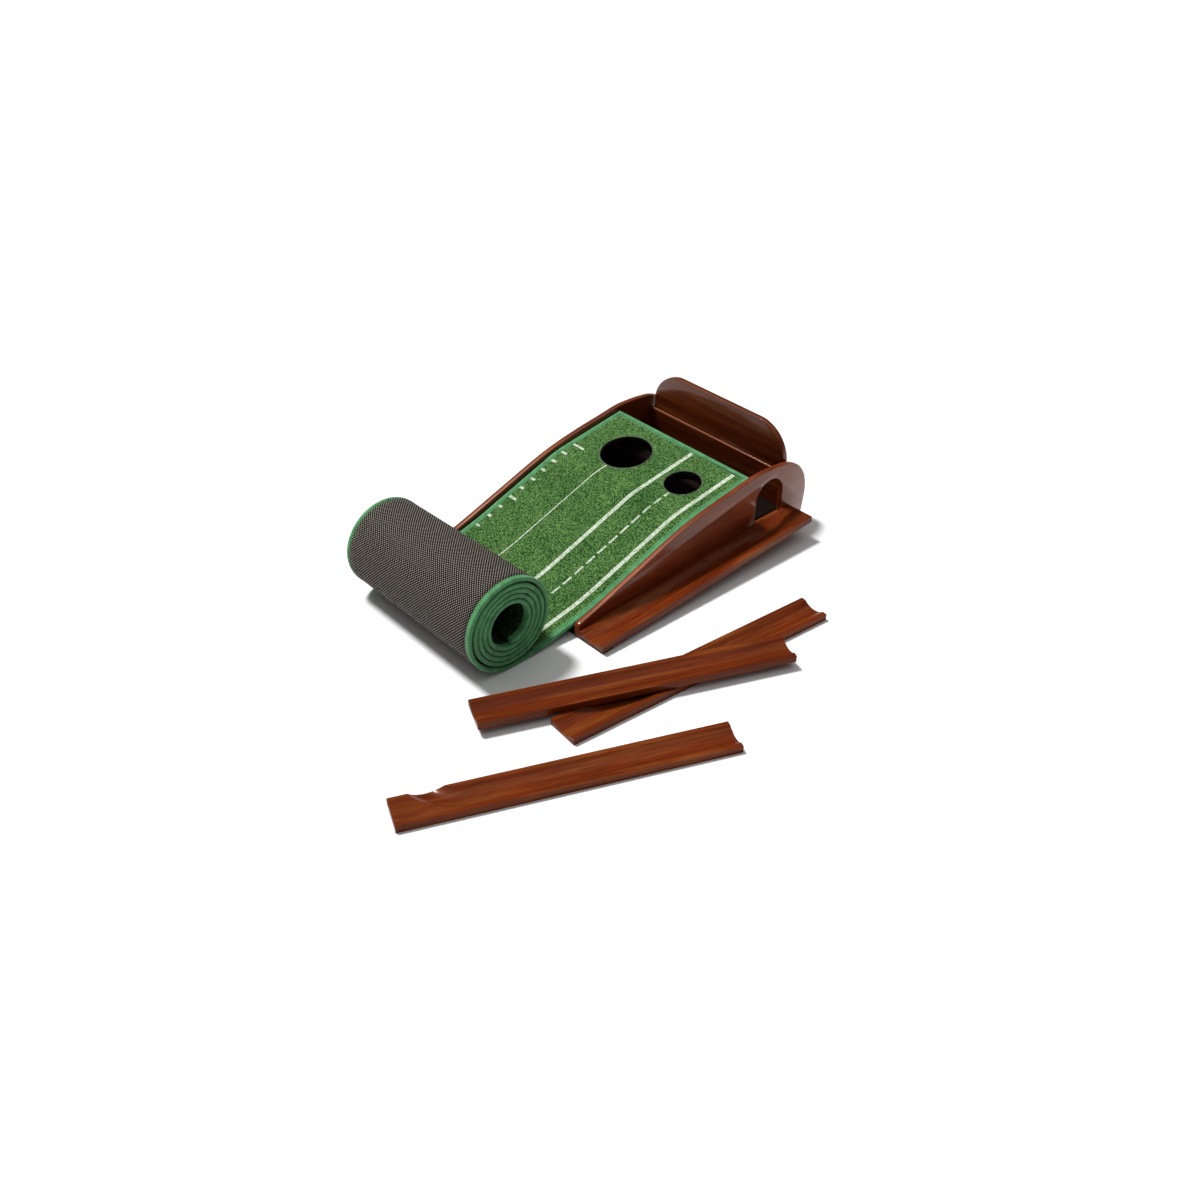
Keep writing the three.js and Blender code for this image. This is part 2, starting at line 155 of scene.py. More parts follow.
def ramp(tree, *stops):
    """A colour ramp with these (position, colour) stops."""
    made = tree.nodes.new("ShaderNodeValToRGB")
    band = made.color_ramp.elements
    while len(band) < len(stops):
        band.new(0.5)
    for element, (position, colour) in zip(band, stops):
        element.position = position
        element.color = colour
    return made


def new_finish(name):
    """A new material with its node tree and its main shader."""
    made = bpy.data.materials.new(name)
    made.use_nodes = True
    return made, made.node_tree, made.node_tree.nodes["Principled BSDF"]


def polish_range(tree, low, high):
    """A node that turns a texture's value into roughness between low and high."""
    return node(tree, "ShaderNodeMapRange", To_Min=low, To_Max=high)


def stained_wood(name, heading, shade=1.0, offset=0.0, calm=0.0, gloss=0.8):
    """Red brown hardwood with its grain at heading, in degrees round from +X. Calm evens the figure out."""
    wood, tree, body = new_finish(name)
    place = node(tree, "ShaderNodeTexCoord")
    turned = node(tree, "ShaderNodeMapping")
    turned.inputs["Rotation"].default_value = (0.0, 0.0, -math.radians(heading))
    turned.inputs["Location"].default_value = (offset, offset * 1.7, offset * 0.6)
    long_figure = node(tree, "ShaderNodeMapping")
    long_figure.inputs["Scale"].default_value = (1.6, 30.0, 30.0)
    figure = node(tree, "ShaderNodeTexNoise", Scale=2.2, Detail=5.0, Roughness=0.62, Distortion=0.7)
    pore_stretch = node(tree, "ShaderNodeMapping")
    pore_stretch.inputs["Scale"].default_value = (12.0, 420.0, 420.0)
    pores = node(tree, "ShaderNodeTexNoise", Scale=2.0, Detail=3.0, Roughness=0.55)
    cloud = node(tree, "ShaderNodeTexNoise", Scale=7.0, Detail=2.0, Roughness=0.5)
    stain = ramp(tree, (0.30 - calm, WOOD_DARK), (0.50, WOOD_RED), (0.72 + calm, WOOD_LIGHT))
    pore_shade = ramp(tree, (0.32, (0.45, 0.40, 0.38, 1.0)), (0.50, (1.0, 1.0, 1.0, 1.0)))
    cloud_shade = ramp(tree, (0.30, (shade * 0.80,) * 3 + (1.0,)), (0.70, (shade * 1.15,) * 3 + (1.0,)))
    pored = node(tree, "ShaderNodeMix", data_type="RGBA", blend_type="MULTIPLY")
    pored.inputs["Factor"].default_value = 0.75
    clouded = node(tree, "ShaderNodeMix", data_type="RGBA", blend_type="MULTIPLY")
    clouded.inputs["Factor"].default_value = 1.0
    polish = polish_range(tree, 0.50, 0.36)
    relief = node(tree, "ShaderNodeBump", Strength=0.2, Distance=0.0001)
    wire(
        tree,
        (place, "Object", turned, "Vector"),
        (turned, "Vector", long_figure, "Vector"),
        (turned, "Vector", pore_stretch, "Vector"),
        (turned, "Vector", cloud, "Vector"),
        (long_figure, "Vector", figure, "Vector"),
        (pore_stretch, "Vector", pores, "Vector"),
        (figure, "Fac", stain, "Fac"),
        (pores, "Fac", pore_shade, "Fac"),
        (cloud, "Fac", cloud_shade, "Fac"),
        (pores, "Fac", polish, "Value"),
        (polish, "Result", body, "Roughness"),
        (pores, "Fac", relief, "Height"),
        (relief, "Normal", body, "Normal"),
    )
    tree.links.new(stain.outputs["Color"], pored.inputs[6])
    tree.links.new(pore_shade.outputs["Color"], pored.inputs[7])
    tree.links.new(pored.outputs[2], clouded.inputs[6])
    tree.links.new(cloud_shade.outputs["Color"], clouded.inputs[7])
    tree.links.new(clouded.outputs[2], body.inputs["Base Color"])
    body.inputs["Specular IOR Level"].default_value = 0.5 * gloss
    body.inputs["Specular Tint"].default_value = WARM_GLOSS
    body.inputs["Coat Weight"].default_value = 0.8 * gloss
    body.inputs["Coat Roughness"].default_value = 0.10
    return wood


def dress(name, finish, ease=0.0):
    """Gives a carried-over node its finish, and rounds its edges over by ease."""
    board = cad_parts[name]
    board.data.materials.clear()
    board.data.materials.append(finish)
    if "custom_normal" in board.data.attributes:
        board.data.attributes.remove(board.data.attributes["custom_normal"])
    joined = board.modifiers.new("joined_corners", "WELD")
    joined.merge_threshold = 0.00001
    if ease > 0:
        board.data.shade_smooth()
        rounded = board.modifiers.new("eased_edges", "BEVEL")
        rounded.width = ease
        rounded.segments = 2
        rounded.limit_method = "ANGLE"
        rounded.angle_limit = math.radians(32)
        rounded.harden_normals = True
    return board


dress("side_board_left", stained_wood("left_board_stain", 90.0, 1.05, 3.0, calm=0.14), BOARD_EDGE)
dress("side_board_right", stained_wood("right_board_stain", 90.0, 1.20, 11.0, calm=0.18), BOARD_EDGE)


# ---- Deck and ball path -------------------------------------------------------------------------
# Plain boards between the side boards carry the turf, and a sloping chute and trough under the
# cups bring the ball to the opening. Their near-black colour is painted shade, which keeps the
# insides of the cups and the opening dark; they are left without lacquer.
# Both tones are painted shade: near black, so the boards seen through the cups and the opening look unlit.
DECK_PAINTED_SHADE = (0.0040, 0.0022, 0.0018, 1.0)
DECK_PAINTED_SHADE_PALER = (0.0110, 0.0045, 0.0030, 1.0)

deck_painted_shade_wood, tree, body = new_finish("deck_painted_shade")
place = node(tree, "ShaderNodeTexCoord")
stretched = node(tree, "ShaderNodeMapping")
stretched.inputs["Scale"].default_value = (3.0, 60.0, 60.0)
figure = node(tree, "ShaderNodeTexNoise", Scale=2.0, Detail=5.0, Roughness=0.6)
stain = ramp(tree, (0.35, DECK_PAINTED_SHADE), (0.70, DECK_PAINTED_SHADE_PALER))
polish = polish_range(tree, 0.90, 0.75)
body.inputs["Specular IOR Level"].default_value = 0.05
relief = node(tree, "ShaderNodeBump", Strength=0.3, Distance=0.0003)
wire(
    tree,
    (place, "Object", stretched, "Vector"),
    (stretched, "Vector", figure, "Vector"),
    (figure, "Fac", stain, "Fac"),
    (stain, "Color", body, "Base Color"),
    (figure, "Fac", polish, "Value"),
    (polish, "Result", body, "Roughness"),
    (figure, "Fac", relief, "Height"),
    (relief, "Normal", body, "Normal"),
)
for name in (
    "front_block", "slope_board", "cup_board", "middle_batten", "rear_batten",
    "drop_chute", "front_bearer", "rear_bearer", "trough_floor",
):
    dress(name, deck_painted_shade_wood)


# ---- Catch board and back board -----------------------------------------------------------------
# A low board with a round lip stops the ball behind the turf, and the tall board behind it has
# large round corners. Both are of the same lacquered hardwood, with the grain running across.
dress("catch_board", stained_wood("catch_board_stain", 0.0, 0.80, 5.0, calm=0.10), BOARD_EDGE)
dress("back_board", stained_wood("back_board_stain", 0.0, 0.85, 8.0, calm=0.10), BOARD_EDGE)


# ---- Screws -------------------------------------------------------------------------------------
# Zinc-plated pan-head wood screws. Three hold the back board to the catch board, and three hold
# the side rail to the right board from inside.
SCREW_EDGE = 0.0001

zinc, tree, body = new_finish("zinc_plate")
place = node(tree, "ShaderNodeTexCoord")
brushing = node(tree, "ShaderNodeTexNoise", Scale=900.0, Detail=3.0)
zinc_tone = ramp(tree, (0.3, (0.42, 0.42, 0.43, 1.0)), (0.7, (0.66, 0.66, 0.68, 1.0)))
polish = polish_range(tree, 0.25, 0.45)
wire(
    tree,
    (place, "Object", brushing, "Vector"),
    (brushing, "Fac", zinc_tone, "Fac"),
    (zinc_tone, "Color", body, "Base Color"),
    (brushing, "Fac", polish, "Value"),
    (polish, "Result", body, "Roughness"),
)
body.inputs["Metallic"].default_value = 1.0
for row in ("back_screw", "rail_screw"):
    for number in (1, 2, 3):
        dress(f"{row}_{number}", zinc, SCREW_EDGE)


# ---- Side rail on the station -------------------------------------------------------------------
# A grooved rail on the right board that carries the ball down from the opening to the front. It
# slopes a little, and a dark rubber pad lifts its front end.
RAIL_GLOSS = 0.22
RAIL_EDGE = 0.0006
FOOT_EDGE = 0.0005

rail_stain = stained_wood("station_rail_stain", 90.0, 1.10, 17.0, calm=0.10, gloss=RAIL_GLOSS)
dress("station_rail", rail_stain, RAIL_EDGE)

rubber, tree, body = new_finish("foot_rubber")
place = node(tree, "ShaderNodeTexCoord")
grit = node(tree, "ShaderNodeTexNoise", Scale=600.0, Detail=2.0)
rubber_tone = ramp(tree, (0.3, (0.010, 0.009, 0.009, 1.0)), (0.7, (0.026, 0.024, 0.023, 1.0)))
relief = node(tree, "ShaderNodeBump", Strength=0.4, Distance=0.0002)
wire(
    tree,
    (place, "Object", grit, "Vector"),
    (grit, "Fac", rubber_tone, "Fac"),
    (rubber_tone, "Color", body, "Base Color"),
    (grit, "Fac", relief, "Height"),
    (relief, "Normal", body, "Normal"),
)
body.inputs["Roughness"].default_value = 0.8
dress("station_rail_foot", rubber, FOOT_EDGE)


# ---- Loose rails --------------------------------------------------------------------------------
# Three more lengths of the same grooved rail, which join end to end to bring the ball back to the
# player. The last one has its groove turned out to the side.
RAIL_HEADINGS = {"rail_end_turned": 66.25, "rail_lower": 84.35, "rail_upper": 66.08}  # degrees from +X

for count, (name, heading) in enumerate(RAIL_HEADINGS.items()):
    rail_stain = stained_wood(f"{name}_stain", heading, 1.0, 23.0 + 4.0 * count, calm=0.10, gloss=RAIL_GLOSS)
    dress(name, rail_stain, RAIL_EDGE)


# ---- Turf on the ramp ---------------------------------------------------------------------------
# Short dense pile woven on a flat backing, with the putting lines and distance ticks printed in
# white. It lies up the ramp and over the two cups, which are cut through it.
mat_low, mat_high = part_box("mat_on_ramp")
MID_X = (mat_low.x + mat_high.x) / 2
RAMP_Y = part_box("side_board_left")[0].y  # the front end of the side boards
MAT_HALF = (mat_high.x - mat_low.x) / 2
PILE_TOP = 0.0077
PILE_UNDER = 0.0003
TAPE_COVER = 0.0095  # the pile ends this far in from the mat's edge, under the tape
PILE_HALF = MAT_HALF - TAPE_COVER
PILE_WAVES = ((0.00014, 260.0, 0.0), (0.00010, 90.0, 0.3))  # (height, closeness, level)
POINT_STEP = 0.0045  # widest gap between two rows of points
RAMP_LINE = ((-0.095, 0.0), (0.051, 0.028), (0.285, 0.110), (0.464, 0.137))  # (y, height) of the bends
SOFT_BENDS = (0.030, 0.036, 0.017)  # each bend is spread this far to both sides
CUP_Y = 0.370
CUPS = (("large", -0.067, 0.054), ("small", 0.093, 0.038))  # (name, x, radius)
CUP_SIDES = 72
CUT_REACH = 0.03
LINES = ((-0.0666, 0.0026, 0.370), (0.0400, 0.0088, 0.4505), (0.1520, 0.0088, 0.4505))  # (x, width, end)
LINE_END = 0.4505
DASH_X, DASH_WIDE, DASH_LONG, DASH_STEP, DASH_FIRST = 0.0945, 0.0046, 0.0215, 0.0291, 0.0272
TICK_EDGE = -0.1725
TICK_LONG = 0.0056
TICKS = (  # (y, width)
    (0.0629, 0.010), (0.0928, 0.010), (0.1205, 0.010), (0.1492, 0.021), (0.1770, 0.011),
    (0.2052, 0.013), (0.2337, 0.013), (0.2619, 0.014), (0.2897, 0.015), (0.3219, 0.031),
)

def lie(y):
    """Height of the mat's underside above the floor at y, with soft bends where the slope changes."""
    points = ((-1.0, 0.0),) + RAMP_LINE
    slopes = [(b[1] - a[1]) / (b[0] - a[0]) for a, b in zip(points, points[1:])]
    height, slope, last = 0.0, slopes[0], points[0][0]
    for (bend_y, bend_z), after in zip(RAMP_LINE, slopes[1:]):
        if y > bend_y:
            height, slope, last = bend_z, after, bend_y
    height += slope * (y - last)
    for (bend_y, _), before, after, soft in zip(RAMP_LINE, slopes, slopes[1:], SOFT_BENDS):
        near = soft - abs(y - bend_y)
        if near > 0:
            height += (after - before) * near * near / (4 * soft)
    return height


def at(x, y, z):
    """A point in the frame, from the mat's middle line, the front of the side boards and the floor."""
    return (MID_X + x, RAMP_Y + y, z)


def stepped(marks, step):
    """The marks in order, with even steps of at most step between them."""
    marks = sorted(set(marks))
    full = [marks[0]]
    for a, b in zip(marks, marks[1:]):
        parts = max(1, math.ceil((b - a) / step - 1e-6))
        full += [a + (b - a) * k / parts for k in range(1, parts + 1)]
    return full


def closed_sheet(name, across, along, upper, under, finish):
    """A sheet with a face on each side and four edges. finish picks the material number of a face."""
    wide, long = len(across), len(along)
    low = wide * long
    points = [upper(x, s) for s in along for x in across] + [under(x, s) for s in along for x in across]
    faces, kinds = [], []
    for j in range(long - 1):
        for i in range(wide - 1):
            a = j * wide + i
            x, s = (across[i] + across[i + 1]) / 2, (along[j] + along[j + 1]) / 2
            faces.append((a, a + 1, a + wide + 1, a + wide))
            kinds.append(finish(x, s, True))
            faces.append((low + a, low + a + wide, low + a + wide + 1, low + a + 1))
            kinds.append(finish(x, s, False))
    rim = list(range(wide)) + [j * wide + wide - 1 for j in range(1, long)]
    rim += [(long - 1) * wide + i for i in range(wide - 2, -1, -1)]
    rim += [j * wide for j in range(long - 2, 0, -1)]
    for p, q in zip(rim, rim[1:] + rim[:1]):
        faces.append((p, low + p, low + q, q))
        kinds.append(0)
    mesh = bpy.data.meshes.new(name)
    mesh.from_pydata(points, [], faces)
    mesh.polygons.foreach_set("material_index", kinds)
    spread = mesh.attributes.new("lay", "FLOAT_VECTOR", "POINT")
    flat = [c for _ in range(2) for s in along for x in across for c in (x, s, 0.0)]
    spread.data.foreach_set("vector", flat)
    mesh.shade_smooth()
    made = bpy.data.objects.new(name, mesh)
    studio.collection.objects.link(made)
    return made


def fibre(name, dark, mid, light, grain, tuft, rough, bump):
    """Pile or cloth: three shades scattered in tufts of this size, with finer fibres in them."""
    cloth, tree, body = new_finish(name)
    place = node(tree, "ShaderNodeTexCoord")
    tufts = node(tree, "ShaderNodeTexVoronoi", Scale=1.0 / tuft)
    tone = node(tree, "ShaderNodeSeparateColor")
    fine = node(tree, "ShaderNodeTexNoise", Scale=1.0 / grain, Detail=2.0, Roughness=0.6)
    drift = node(tree, "ShaderNodeTexNoise", Scale=14.0, Detail=2.0)
    half = node(tree, "ShaderNodeMath", operation="MULTIPLY")
    half.inputs[1].default_value = 0.52
    blend = node(tree, "ShaderNodeMath", operation="MULTIPLY_ADD")
    blend.inputs[1].default_value = 0.42
    sway = node(tree, "ShaderNodeMath", operation="MULTIPLY_ADD")
    sway.inputs[1].default_value = 0.25
    shades = ramp(tree, (0.40, dark), (0.58, mid), (0.76, light))
    relief = node(tree, "ShaderNodeBump", Strength=bump, Distance=0.0006)
    polish = polish_range(tree, rough, min(1.0, rough + 0.12))
    wire(
        tree,
        (place, "Object", tufts, "Vector"),
        (place, "Object", fine, "Vector"),
        (place, "Object", drift, "Vector"),
        (tufts, "Color", tone, "Color"),
        (tone, "Red", half, 0),
        (fine, "Fac", blend, 0),
        (half, "Value", blend, 2),
        (drift, "Fac", sway, 0),
        (blend, "Value", sway, 2),
        (sway, "Value", shades, "Fac"),
        (shades, "Color", body, "Base Color"),
        (sway, "Value", relief, "Height"),
        (relief, "Normal", body, "Normal"),
        (fine, "Fac", polish, "Value"),
        (polish, "Result", body, "Roughness"),
    )
    body.inputs["Specular IOR Level"].default_value = 0.1
    body.inputs["Sheen Weight"].default_value = 0.06
    body.inputs["Sheen Roughness"].default_value = 0.5
    return cloth


pile = fibre(
    "green_pile", (0.005, 0.034, 0.004, 1.0), (0.026, 0.096, 0.016, 1.0), (0.150, 0.290, 0.085, 1.0),
    0.0011, 0.0015, 0.86, 1.0,
)
white_pile = fibre(
    "white_print", (0.27, 0.38, 0.23, 1.0), (0.50, 0.59, 0.45, 1.0), (0.66, 0.72, 0.60, 1.0),
    0.0011, 0.0024, 0.86, 0.7,
)
# The walls of the cups get a near-black copy of the pile: painted shade for the dark inside of the holes.
cup_wall_painted_shade = fibre(
    "painted_shade_cup_wall", (0.006, 0.010, 0.005, 1.0), (0.012, 0.020, 0.010, 1.0), (0.024, 0.034, 0.018, 1.0),
    0.0008, 0.0020, 0.9, 0.5,
)


def printed(x, y):
    """True where the turf is printed white."""
    if y > LINE_END:
        return False
    for line_x, wide, end in LINES:
        if abs(x - line_x) < wide / 2:
            return y < end
    if abs(x - DASH_X) < DASH_WIDE / 2:
        return y < CUP_Y and (y - DASH_FIRST) % DASH_STEP < DASH_LONG
    for tick_y, wide in TICKS:
        if abs(y - tick_y) < TICK_LONG / 2 and TICK_EDGE < x < TICK_EDGE + wide:
            return True
    return False


def pile_height(x, y):
    """The pile's uneven top, a few tenths of a millimetre up and down."""
    return sum(high * noise.noise(Vector((x, y, level)) * close) for high, close, level in PILE_WAVES)


def pile_top(x, y):
    """A point of the pile's top face."""
    return at(x, y, lie(y) + PILE_TOP + pile_height(x, y))


def pile_under(x, y):
    """A point of the pile's under face."""
    return at(x, y, lie(y) + PILE_UNDER)


def print_number(x, y, upper):
    """The material number of a face: 1 where its upper side is printed white."""
    return 1 if upper and printed(x, y) else 0


def line_marks():
    """Where the printed lines begin and end across the turf."""
    marks = [-PILE_HALF, PILE_HALF, DASH_X - DASH_WIDE / 2, DASH_X + DASH_WIDE / 2]
    for line_x, wide, _ in LINES:
        marks += [line_x - wide / 2, line_x + wide / 2]
    return marks


ramp_start, ramp_end = RAMP_LINE[0][0], RAMP_LINE[-1][0]
across_marks = line_marks() + [TICK_EDGE] + [TICK_EDGE + wide for _, wide in TICKS]
along_marks = [ramp_start, ramp_end - TAPE_COVER, LINE_END]
for tick_y, _ in TICKS:
    along_marks += [tick_y - TICK_LONG / 2, tick_y + TICK_LONG / 2]
dash = DASH_FIRST - 5 * DASH_STEP
while dash < CUP_Y:
    along_marks += [y for y in (dash, dash + DASH_LONG) if y > ramp_start]
    dash += DASH_STEP

turf = closed_sheet(
    "ramp_turf",
    stepped(across_marks, POINT_STEP),
    stepped(along_marks, POINT_STEP),
    pile_top,
    pile_under,
    print_number,
)
for finish in (pile, white_pile, cup_wall_painted_shade):
    turf.data.materials.append(finish)

deck_tilt = math.atan2(RAMP_LINE[3][1] - RAMP_LINE[2][1], RAMP_LINE[3][0] - RAMP_LINE[2][0])
for cup, cup_x, radius in CUPS:
    turn = [2 * math.pi * k / CUP_SIDES for k in range(CUP_SIDES)]
    ring = [(radius * math.cos(a), radius * math.sin(a)) for a in turn]
    cutter_mesh = bpy.data.meshes.new(f"{cup}_cup_cutter")
    cutter_mesh.from_pydata(
        [(x, y, z) for z in (-CUT_REACH, CUT_REACH) for x, y in ring],
        [],
        [tuple(range(CUP_SIDES - 1, -1, -1)), tuple(range(CUP_SIDES, 2 * CUP_SIDES))]
        + [
            (k, (k + 1) % CUP_SIDES, CUP_SIDES + (k + 1) % CUP_SIDES, CUP_SIDES + k)
            for k in range(CUP_SIDES)
        ],
    )
    for finish in (pile, white_pile, cup_wall_painted_shade):
        cutter_mesh.materials.append(finish)
    # The cutter's faces become the cup walls, which take the painted shade.
    for face in cutter_mesh.polygons:
        face.material_index = 2
    cutter = bpy.data.objects.new(f"{cup}_cup_cutter", cutter_mesh)
    studio.collection.objects.link(cutter)
    cutter.location = at(cup_x, CUP_Y, lie(CUP_Y) + PILE_TOP)
    cutter.rotation_euler = (deck_tilt, 0.0, 0.0)
    hole = turf.modifiers.new(f"{cup}_cup", "BOOLEAN")
    hole.operation = "DIFFERENCE"
    hole.solver = "EXACT"
    hole.object = cutter
bpy.context.view_layer.update()
cut_turf = bpy.data.meshes.new_from_object(turf.evaluated_get(bpy.context.evaluated_depsgraph_get()))
turf.modifiers.clear()
turf.data = cut_turf
for cup, _, _ in CUPS:
    bpy.data.objects.remove(bpy.data.objects[f"{cup}_cup_cutter"])
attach(turf, "station")
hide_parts("mat_on_ramp")


# ---- Cup rims -----------------------------------------------------------------------------------
# A thin pale seam of melted fibre runs round each hole where the turf was cut hot.
seam = fibre(
    "cup_seam", (0.055, 0.075, 0.050, 1.0), (0.110, 0.140, 0.095, 1.0), (0.190, 0.220, 0.160, 1.0),
    0.0006, 0.0016, 0.6, 0.4,
)
RIM_TUBE = 0.0009
RIM_GAP = 0.0002
RIM_STEPS = 96
RIM_SIDES = 8


def smooth_piece(name, points, faces, finish):
    """An object from these points and faces, with every face turned outward and smooth shading."""
    mesh = bpy.data.meshes.new(name)
    mesh.from_pydata(points, [], faces)
    solid = bmesh.new()
    solid.from_mesh(mesh)
    bmesh.ops.recalc_face_normals(solid, faces=solid.faces)
    solid.to_mesh(mesh)
    solid.free()
    mesh.shade_smooth()
    mesh.materials.append(finish)
    made = bpy.data.objects.new(name, mesh)
    studio.collection.objects.link(made)
    return made


def swept(name, stations, profile, finish, around=False):
    """A profile of (inward, up) pairs carried through stations of (place, inward, up)."""
    count = len(profile)
    points = [place + inward * u + up * w for place, inward, up in stations for u, w in profile]
    last = len(stations) if around else len(stations) - 1
    faces = []
    for j in range(last):
        near, far = j * count, ((j + 1) % len(stations)) * count
        for i in range(count):
            k = (i + 1) % count
            faces.append((near + i, near + k, far + k, far + i))
    if not around:
        faces.append(tuple(range(count - 1, -1, -1)))
        faces.append(tuple(last * count + i for i in range(count)))
    return smooth_piece(name, points, faces, finish)


deck_up = Vector((0.0, -math.sin(deck_tilt), math.cos(deck_tilt)))
deck_along = Vector((0.0, math.cos(deck_tilt), math.sin(deck_tilt)))
tube_turn = [2 * math.pi * i / RIM_SIDES for i in range(RIM_SIDES)]
tube = [(RIM_TUBE * math.cos(b), RIM_TUBE * math.sin(b)) for b in tube_turn]
for cup, cup_x, radius in CUPS:
    middle = Vector(at(cup_x, CUP_Y, lie(CUP_Y) + PILE_TOP))
    stations = []
    for k in range(RIM_STEPS):
        a = 2 * math.pi * k / RIM_STEPS
        out = Vector((1, 0, 0)) * math.cos(a) + deck_along * math.sin(a)
        stations.append((middle + out * (radius + RIM_GAP), out, deck_up))
    rim = swept(f"{cup}_cup_seam", stations, tube, seam, around=True)
    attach(rim, "station")


# ---- Edge tape of the mat on the ramp -----------------------------------------------------------
# Emerald woven tape folded over the mat's edges and sewn through with one line of stitches.
TAPE = (  # (inward from the mat's edge, up from its underside), once round
    (0.0105, 0.0003), (0.0100, 0.0000), (0.0026, 0.0000), (0.0008, 0.0007), (0.0000, 0.0024),
    (0.0000, 0.0058), (0.0008, 0.0075), (0.0026, 0.0081), (0.0060, 0.0084), (0.0084, 0.0083),
    (0.0090, 0.0079), (0.0096, 0.0079), (0.0102, 0.0083), (0.0126, 0.0081), (0.0131, 0.0074),
)
SEWN_AT = 0.0093  # the stitches sit this far in from the mat's edge
SEWN_HEIGHT = 0.0080
STITCH_STEP, STITCH_LONG, STITCH_THICK = 0.0046, 0.0036, 0.00058

tape_green, tree, body = new_finish("emerald_tape")
place = node(tree, "ShaderNodeTexCoord")
ribs = node(tree, "ShaderNodeTexVoronoi", Scale=1300.0)
wear = node(tree, "ShaderNodeTexNoise", Scale=60.0, Detail=4.0, Roughness=0.6)
tape_tone = ramp(tree, (0.28, (0.042, 0.215, 0.068, 1.0)), (0.72, (0.125, 0.410, 0.165, 1.0)))
rib_tone = ramp(tree, (0.0, (1.0, 1.0, 1.0, 1.0)), (0.8, (0.62, 0.66, 0.62, 1.0)))
ribbed = node(tree, "ShaderNodeMix", data_type="RGBA", blend_type="MULTIPLY")
ribbed.inputs["Factor"].default_value = 0.8
relief = node(tree, "ShaderNodeBump", Strength=0.5, Distance=0.0002)
polish = polish_range(tree, 0.62, 0.80)
wire(
    tree,
    (place, "Object", ribs, "Vector"),
    (place, "Object", wear, "Vector"),
    (wear, "Fac", tape_tone, "Fac"),
    (ribs, "Distance", rib_tone, "Fac"),
    (ribs, "Distance", relief, "Height"),
    (relief, "Normal", body, "Normal"),
    (wear, "Fac", polish, "Value"),
    (polish, "Result", body, "Roughness"),
)
tree.links.new(tape_tone.outputs["Color"], ribbed.inputs[6])
tree.links.new(rib_tone.outputs["Color"], ribbed.inputs[7])
tree.links.new(ribbed.outputs[2], body.inputs["Base Color"])
body.inputs["Sheen Weight"].default_value = 0.2
body.inputs["Specular IOR Level"].default_value = 0.3

thread_green = fibre(
    "green_thread", (0.004, 0.028, 0.010, 1.0), (0.009, 0.052, 0.020, 1.0), (0.022, 0.090, 0.038, 1.0),
    0.0003, 0.0010, 0.6, 0.3,
)


def ground(x, y):
    """A point on the mat's underside, and the direction straight up from it."""
    slope = (lie(y + 0.001) - lie(y - 0.001)) / 0.002
    return Vector(at(x, y, lie(y))), Vector((0.0, -slope, 1.0)).normalized()


edge_steps = stepped([ramp_start, 0.021, 0.091, 0.225, 0.345, ramp_end], 0.010)
stations = []
for side in (-1, 1):
    run = edge_steps[:-1] if side < 0 else edge_steps[-2::-1]
    corner, up = ground(side * MAT_HALF, ramp_end)
    edge = [(ground(side * MAT_HALF, y)[0], Vector((-side, 0, 0)), Vector((0, 0, 1))) for y in run]
    mitre = [(corner, Vector((-side, 0, 0)) - deck_along, Vector((0, 0, 1)))]
    stations += edge + mitre if side < 0 else mitre + edge
tape = swept("ramp_edge_tape", stations, TAPE, tape_green)
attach(tape, "station")


def stitches(name, spots):
    """Short threads, one at each spot of (place, direction, up)."""
    points, faces = [], []
    ring = [(math.cos(a), math.sin(a)) for a in (math.pi * k / 3 for k in range(6))]
    for place, along, up in spots:
        side = along.cross(up).normalized()
        first = len(points)
        for share, size, sink in ((-0.5, 0.35, 0.6), (-0.3, 1.0, 0.0), (0.3, 1.0, 0.0), (0.5, 0.35, 0.6)):
            middle = place + along * (share * STITCH_LONG) - up * (sink * STITCH_THICK)
            points += [middle + (side * c + up * s) * (STITCH_THICK * size) for c, s in ring]
        for j in range(3):
            for i in range(6):
                k = (i + 1) % 6
                a = first + 6 * j
                faces.append((a + i, a + k, a + 6 + k, a + 6 + i))
        faces.append(tuple(first + i for i in range(5, -1, -1)))
        faces.append(tuple(first + 18 + i for i in range(6)))
    return smooth_piece(name, points, faces, thread_green)


spots = []
for side in (-1, 1):
    y = ramp_start + STITCH_STEP / 2
    while y < ramp_end - SEWN_AT:
        place, up = ground(side * (MAT_HALF - SEWN_AT), y)
        along = Vector((0, up.z, -up.y))
        spots.append((place + Vector((0, 0, SEWN_HEIGHT)), along, up))
        y += STITCH_STEP
x = -MAT_HALF + SEWN_AT + STITCH_STEP / 2
while x < MAT_HALF - SEWN_AT:
    place, up = ground(x, ramp_end - SEWN_AT * math.cos(deck_tilt))
    spots.append((place + Vector((0, 0, SEWN_HEIGHT)), Vector((1, 0, 0)), up))
    x += STITCH_STEP
ramp_stitches = stitches("ramp_stitches", spots)
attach(ramp_stitches, "station")


# ---- Mat along the floor ------------------------------------------------------------------------
# The same turf where it lies flat between the ramp and the roll.
ROLL_Y = -0.142
RUN_STEP = 0.0040
run_marks = stepped([ROLL_Y, ramp_start], RUN_STEP)

floor_run = closed_sheet(
    "floor_run_turf",
    stepped(line_marks(), POINT_STEP),
    run_marks,
    pile_top,
    pile_under,
    print_number,
)
floor_run.data.materials.append(pile)
floor_run.data.materials.append(white_pile)
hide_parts("mat_flat_run")
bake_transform(floor_run)
for side, hand in ((-1, "left"), (1, "right")):
    stations = [(ground(side * MAT_HALF, y)[0], Vector((-side, 0, 0)), Vector((0, 0, 1))) for y in run_marks]
    run_tape = swept(f"floor_run_tape_{hand}", stations, TAPE, tape_green)
    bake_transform(run_tape)


